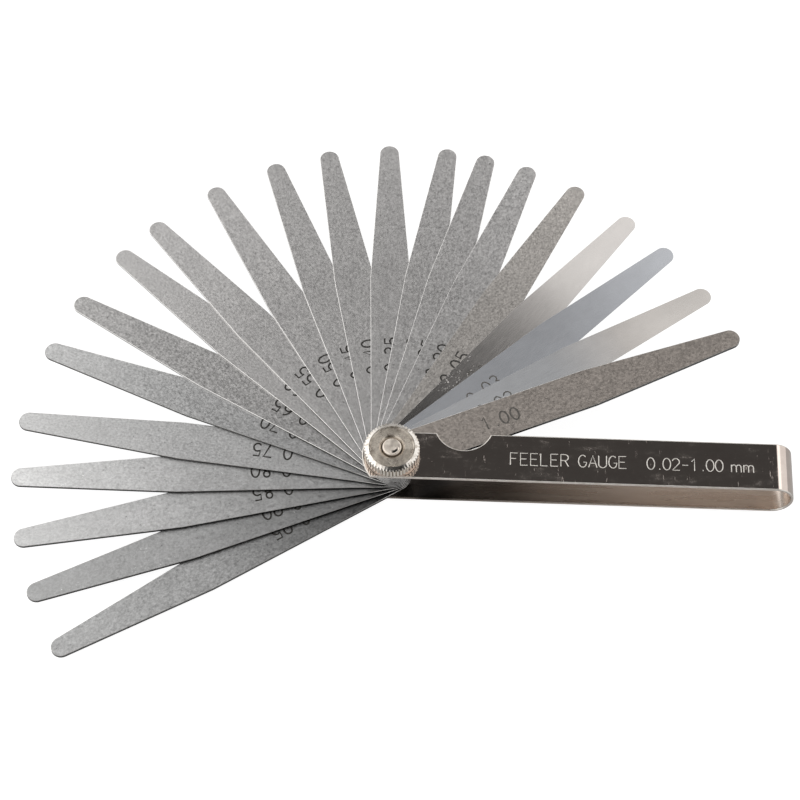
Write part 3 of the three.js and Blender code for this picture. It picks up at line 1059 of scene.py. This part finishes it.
def make_pivot_screw():
    """Head below the back leg, shank and staked end. The square neck is hidden and left out."""
    low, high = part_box("pivot_screw")
    head = high.x
    case_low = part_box("case")[0].z
    top = high.z
    end = SCREW_END_RADIUS
    rows = [(0, 0)]
    rows += [(head - inwards * MM, up * MM) for inwards, up in HEAD_FOOT]
    rows += [(head - inwards * MM, case_low - down * MM) for inwards, down in HEAD_BROW]
    rows += [
        (SHANK_RADIUS, case_low - CLAMP_GAP), (SHANK_RADIUS, top - SCREW_END_HEIGHT - SCREW_END_STEP),
        (end, top - SCREW_END_HEIGHT),
    ]
    rows += [(end - inwards * MM, top - down * MM) for inwards, down in SCREW_CORNER]
    for i in range(1, SCREW_DOME_STEPS + 1):
        share = 1 - i / SCREW_DOME_STEPS
        rows.append((SCREW_DOME_WIDTH * share, top - SCREW_DOME_HEIGHT * share ** 2))
    mesh = turned("pivot_screw_fine", rows, SCREW_COLUMNS)
    stake(mesh, top)
    screw = new_object("pivot_screw_fine", shade(mesh, angle=32), MATERIALS["screw_steel"])
    add_slots(mesh, "marks")
    # The deep part of the stake dent takes the etched marks' near-black as painted shade.
    steel_slot, black_slot = 0, 1
    for polygon in mesh.polygons:
        centre = polygon.center
        radius = math.hypot(centre.x, centre.y)
        in_dent = case_low < centre.z < top - STAKE_BLACK_DEPTH and radius < end - STAKE_BLACK_MARGIN
        polygon.material_index = black_slot if in_dent else steel_slot
    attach(screw, "case")
    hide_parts("pivot_screw")


make_thumb_nut()
make_pivot_screw()
washer_slots = NODES["nut_washer"].data.materials
washer_slots.clear()
washer_slots.append(MATERIALS["screw_steel"])


# ---- Camera ----

def add_camera():
    """A long lens well above the case side, looking down at the fan."""
    elevation, yaw, roll = CAMERA_ELEVATION, CAMERA_YAW, CAMERA_ROLL
    back = Vector((
        math.sin(yaw) * math.cos(elevation), -math.cos(yaw) * math.cos(elevation), math.sin(elevation),
    ))
    level = Vector((math.cos(yaw), math.sin(yaw), 0))
    upright = back.cross(level)
    right = level * math.cos(roll) + upright * math.sin(roll)
    up = upright * math.cos(roll) - level * math.sin(roll)
    pivot = Vector((0, 0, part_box("case")[0].z))
    place = pivot + right * AIM_RIGHT + up * AIM_UP + back * CAMERA_DISTANCE
    turn = Matrix((right, up, back)).transposed().to_4x4()
    data = bpy.data.cameras.new("camera")
    data.sensor_width = 36
    data.lens = data.sensor_width * CAMERA_DISTANCE / FIELD_SIDE
    camera = bpy.data.objects.new("camera", data)
    camera.matrix_world = Matrix.Translation(place) @ turn
    bpy.context.scene.collection.objects.link(camera)
    bpy.context.scene.camera = camera


add_camera()


# ---- Floor and light ----

def add_floor():
    """Plain pale paper. It reads white in the picture and mid grey in the steel's reflections."""
    work = bmesh.new()
    bmesh.ops.create_grid(work, x_segments=1, y_segments=1, size=FLOOR_REACH)
    m = Nodes("floor_paper")
    m.shader.inputs["Metallic"].default_value = 0
    m.shader.inputs["Base Color"].default_value = (FLOOR_GREY, FLOOR_GREY, FLOOR_GREY, 1)
    m.shader.inputs["Roughness"].default_value = 1
    m.shader.inputs["Specular IOR Level"].default_value = 0
    m.shader.inputs["Emission Color"].default_value = (1, 1, 1, 1)
    seen = m.add("LightPath").outputs["Is Camera Ray"]
    glow = m.remap(seen, 0, 1, FLOOR_GLOW_MIRRORED, FLOOR_GLOW_SEEN)
    m.link(glow, m.shader, "Emission Strength")
    floor = new_object("floor", mesh_from_bmesh("floor", work), m.material)
    floor.location.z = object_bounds()[0][2] - FLOOR_GAP


def add_world():
    """A soft studio: bright tents left and right, a black card high behind, dark round the camera."""
    world = bpy.data.worlds.new("studio")
    bpy.context.scene.world = world
    world.use_nodes = True
    tree = world.node_tree
    background = tree.nodes["Background"]
    source = tree.nodes.new("ShaderNodeTexCoord")
    background.inputs["Color"].default_value = (*SKY_COLOR, 1)
    level = None
    for azimuth, elevation, core, rim, inside in STUDIO_PATCHES:
        a, e = math.radians(azimuth), math.radians(elevation)
        facing = tree.nodes.new("ShaderNodeVectorMath")
        facing.operation = "DOT_PRODUCT"
        facing.inputs[1].default_value = (math.cos(a) * math.cos(e), math.sin(a) * math.cos(e), math.sin(e))
        tree.links.new(source.outputs["Generated"], facing.inputs[0])
        edge = tree.nodes.new("ShaderNodeMapRange")
        edge.interpolation_type = "SMOOTHSTEP"
        edge.inputs["From Min"].default_value = math.cos(math.radians(rim))
        edge.inputs["From Max"].default_value = math.cos(math.radians(core))
        tree.links.new(facing.outputs["Value"], edge.inputs["Value"])
        mix = tree.nodes.new("ShaderNodeMix")
        mix.inputs["A"].default_value = SKY_LEVEL
        mix.inputs["B"].default_value = inside
        tree.links.new(edge.outputs["Result"], mix.inputs["Factor"])
        if level is not None:
            tree.links.new(level, mix.inputs["A"])
        level = mix.outputs["Result"]
    tree.links.new(level, background.inputs["Strength"])


add_floor()
add_world()
bpy.context.scene.view_settings.view_transform = "Standard"
